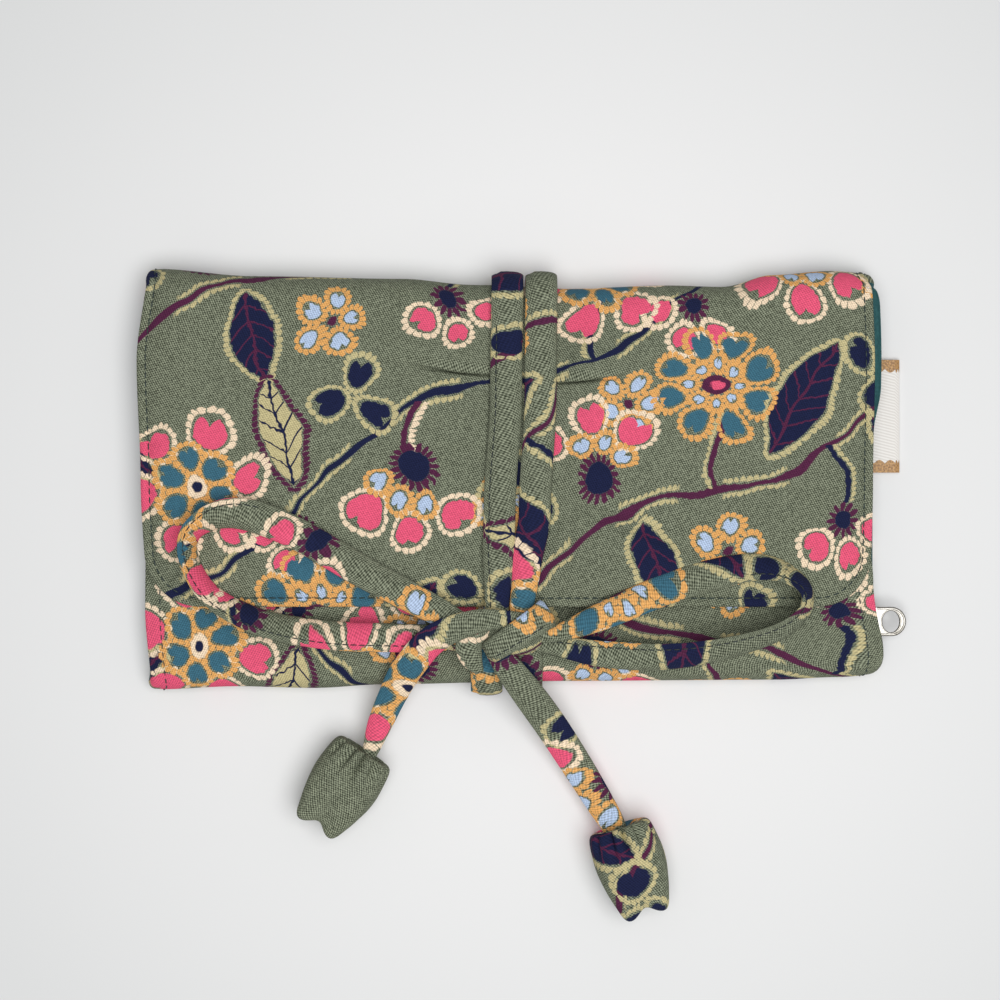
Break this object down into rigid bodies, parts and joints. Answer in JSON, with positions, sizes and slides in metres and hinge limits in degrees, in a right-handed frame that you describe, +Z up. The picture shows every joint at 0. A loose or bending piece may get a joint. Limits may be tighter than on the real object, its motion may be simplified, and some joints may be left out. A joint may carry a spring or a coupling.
{
  "type": "jewelry roll",
  "caption": "Padded printed-cloth jewelry roll folded in three, with a zip pocket panel, a slip pocket and a sewn tie wound round it and bowed, ending in stuffed tulips.",
  "frame": {"origin": "centre of the closed roll's box, without the free ends of the tie, on the table under its back", "axes": "+X along the roll towards the zip pull, +Y from the bow towards the top fold, +Z up from the table through the flap"},
  "size_m": [0.2304, 0.2024, 0.027],
  "materials": {
    "printed_cotton": "fine twill with a floral print",
    "lining_cotton": "plain dark teal",
    "batting": "soft wadding",
    "satin": "woven satin ribbon, bare",
    "zip_tape": "woven tape",
    "nickel": "nickel plated"
  },
  "bodies": {
    "back": {"back_cover": "printed_cotton", "back_batting": "batting", "back_lining": "lining_cotton", "slip_pocket": "lining_cotton", "side_label": "satin", "top_fold_cover": "printed_cotton", "top_fold_lining": "lining_cotton", "bottom_fold_cover": "printed_cotton", "bottom_fold_lining": "lining_cotton", "tie_wrap_left": "printed_cotton", "tie_wrap_right": "printed_cotton"},
    "flap": {"flap_cover": "printed_cotton", "flap_batting": "batting", "flap_lining": "lining_cotton", "tie_front_left": "printed_cotton", "tie_front_right": "printed_cotton", "bow_loop_left": "printed_cotton", "bow_loop_right": "printed_cotton", "tie_tail_left": "printed_cotton", "tie_tail_right": "printed_cotton", "knot_core": "printed_cotton", "knot_band": "printed_cotton", "tulip_left": "printed_cotton", "tulip_right": "printed_cotton"},
    "pocket": {"pocket_cover": "printed_cotton", "pocket_batting": "batting", "pocket_lining_fold_strip": "lining_cotton", "pocket_lining_face": "lining_cotton", "zip_tape_upper": "zip_tape", "zip_tape_lower": "zip_tape", "zip_teeth_upper": "nickel", "zip_teeth_lower": "nickel", "zip_top_stop": "nickel", "zip_bottom_stop": "nickel"},
    "zip_slider": {"slider_body": "nickel", "slider_bail": "nickel"},
    "zip_pull": {"pull_tab": "nickel"}
  },
  "joints": [
    {"name": "flap_fold", "type": "hinge", "parent": "back", "child": "flap", "pos_m": [0, 0.0537, 0.0088], "axis": [-1, 0, 0], "range_deg": [0, 172], "deforming": ["top_fold_cover", "top_fold_lining", "tie_wrap_left", "tie_wrap_right"]},
    {"name": "pocket_fold", "type": "hinge", "parent": "back", "child": "pocket", "pos_m": [0, -0.0561, 0.0064], "axis": [1, 0, 0], "range_deg": [0, 172], "deforming": ["bottom_fold_cover", "bottom_fold_lining"]},
    {"name": "zip_slide", "type": "slide", "parent": "pocket", "child": "zip_slider", "axis": [-1, 0, 0], "range_m": [0, 0.184], "deforming": ["zip_teeth_upper", "zip_teeth_lower"]},
    {"name": "pull_swing", "type": "hinge", "parent": "zip_slider", "child": "zip_pull", "pos_m": [0.0928, -0.0432, 0.0069], "axis": [0, 0, 1], "range_deg": [-25, 25]}
  ],
  "couplings": [
    {"joint": "pocket_fold", "follows": "flap_fold", "ratio": 1}
  ]
}
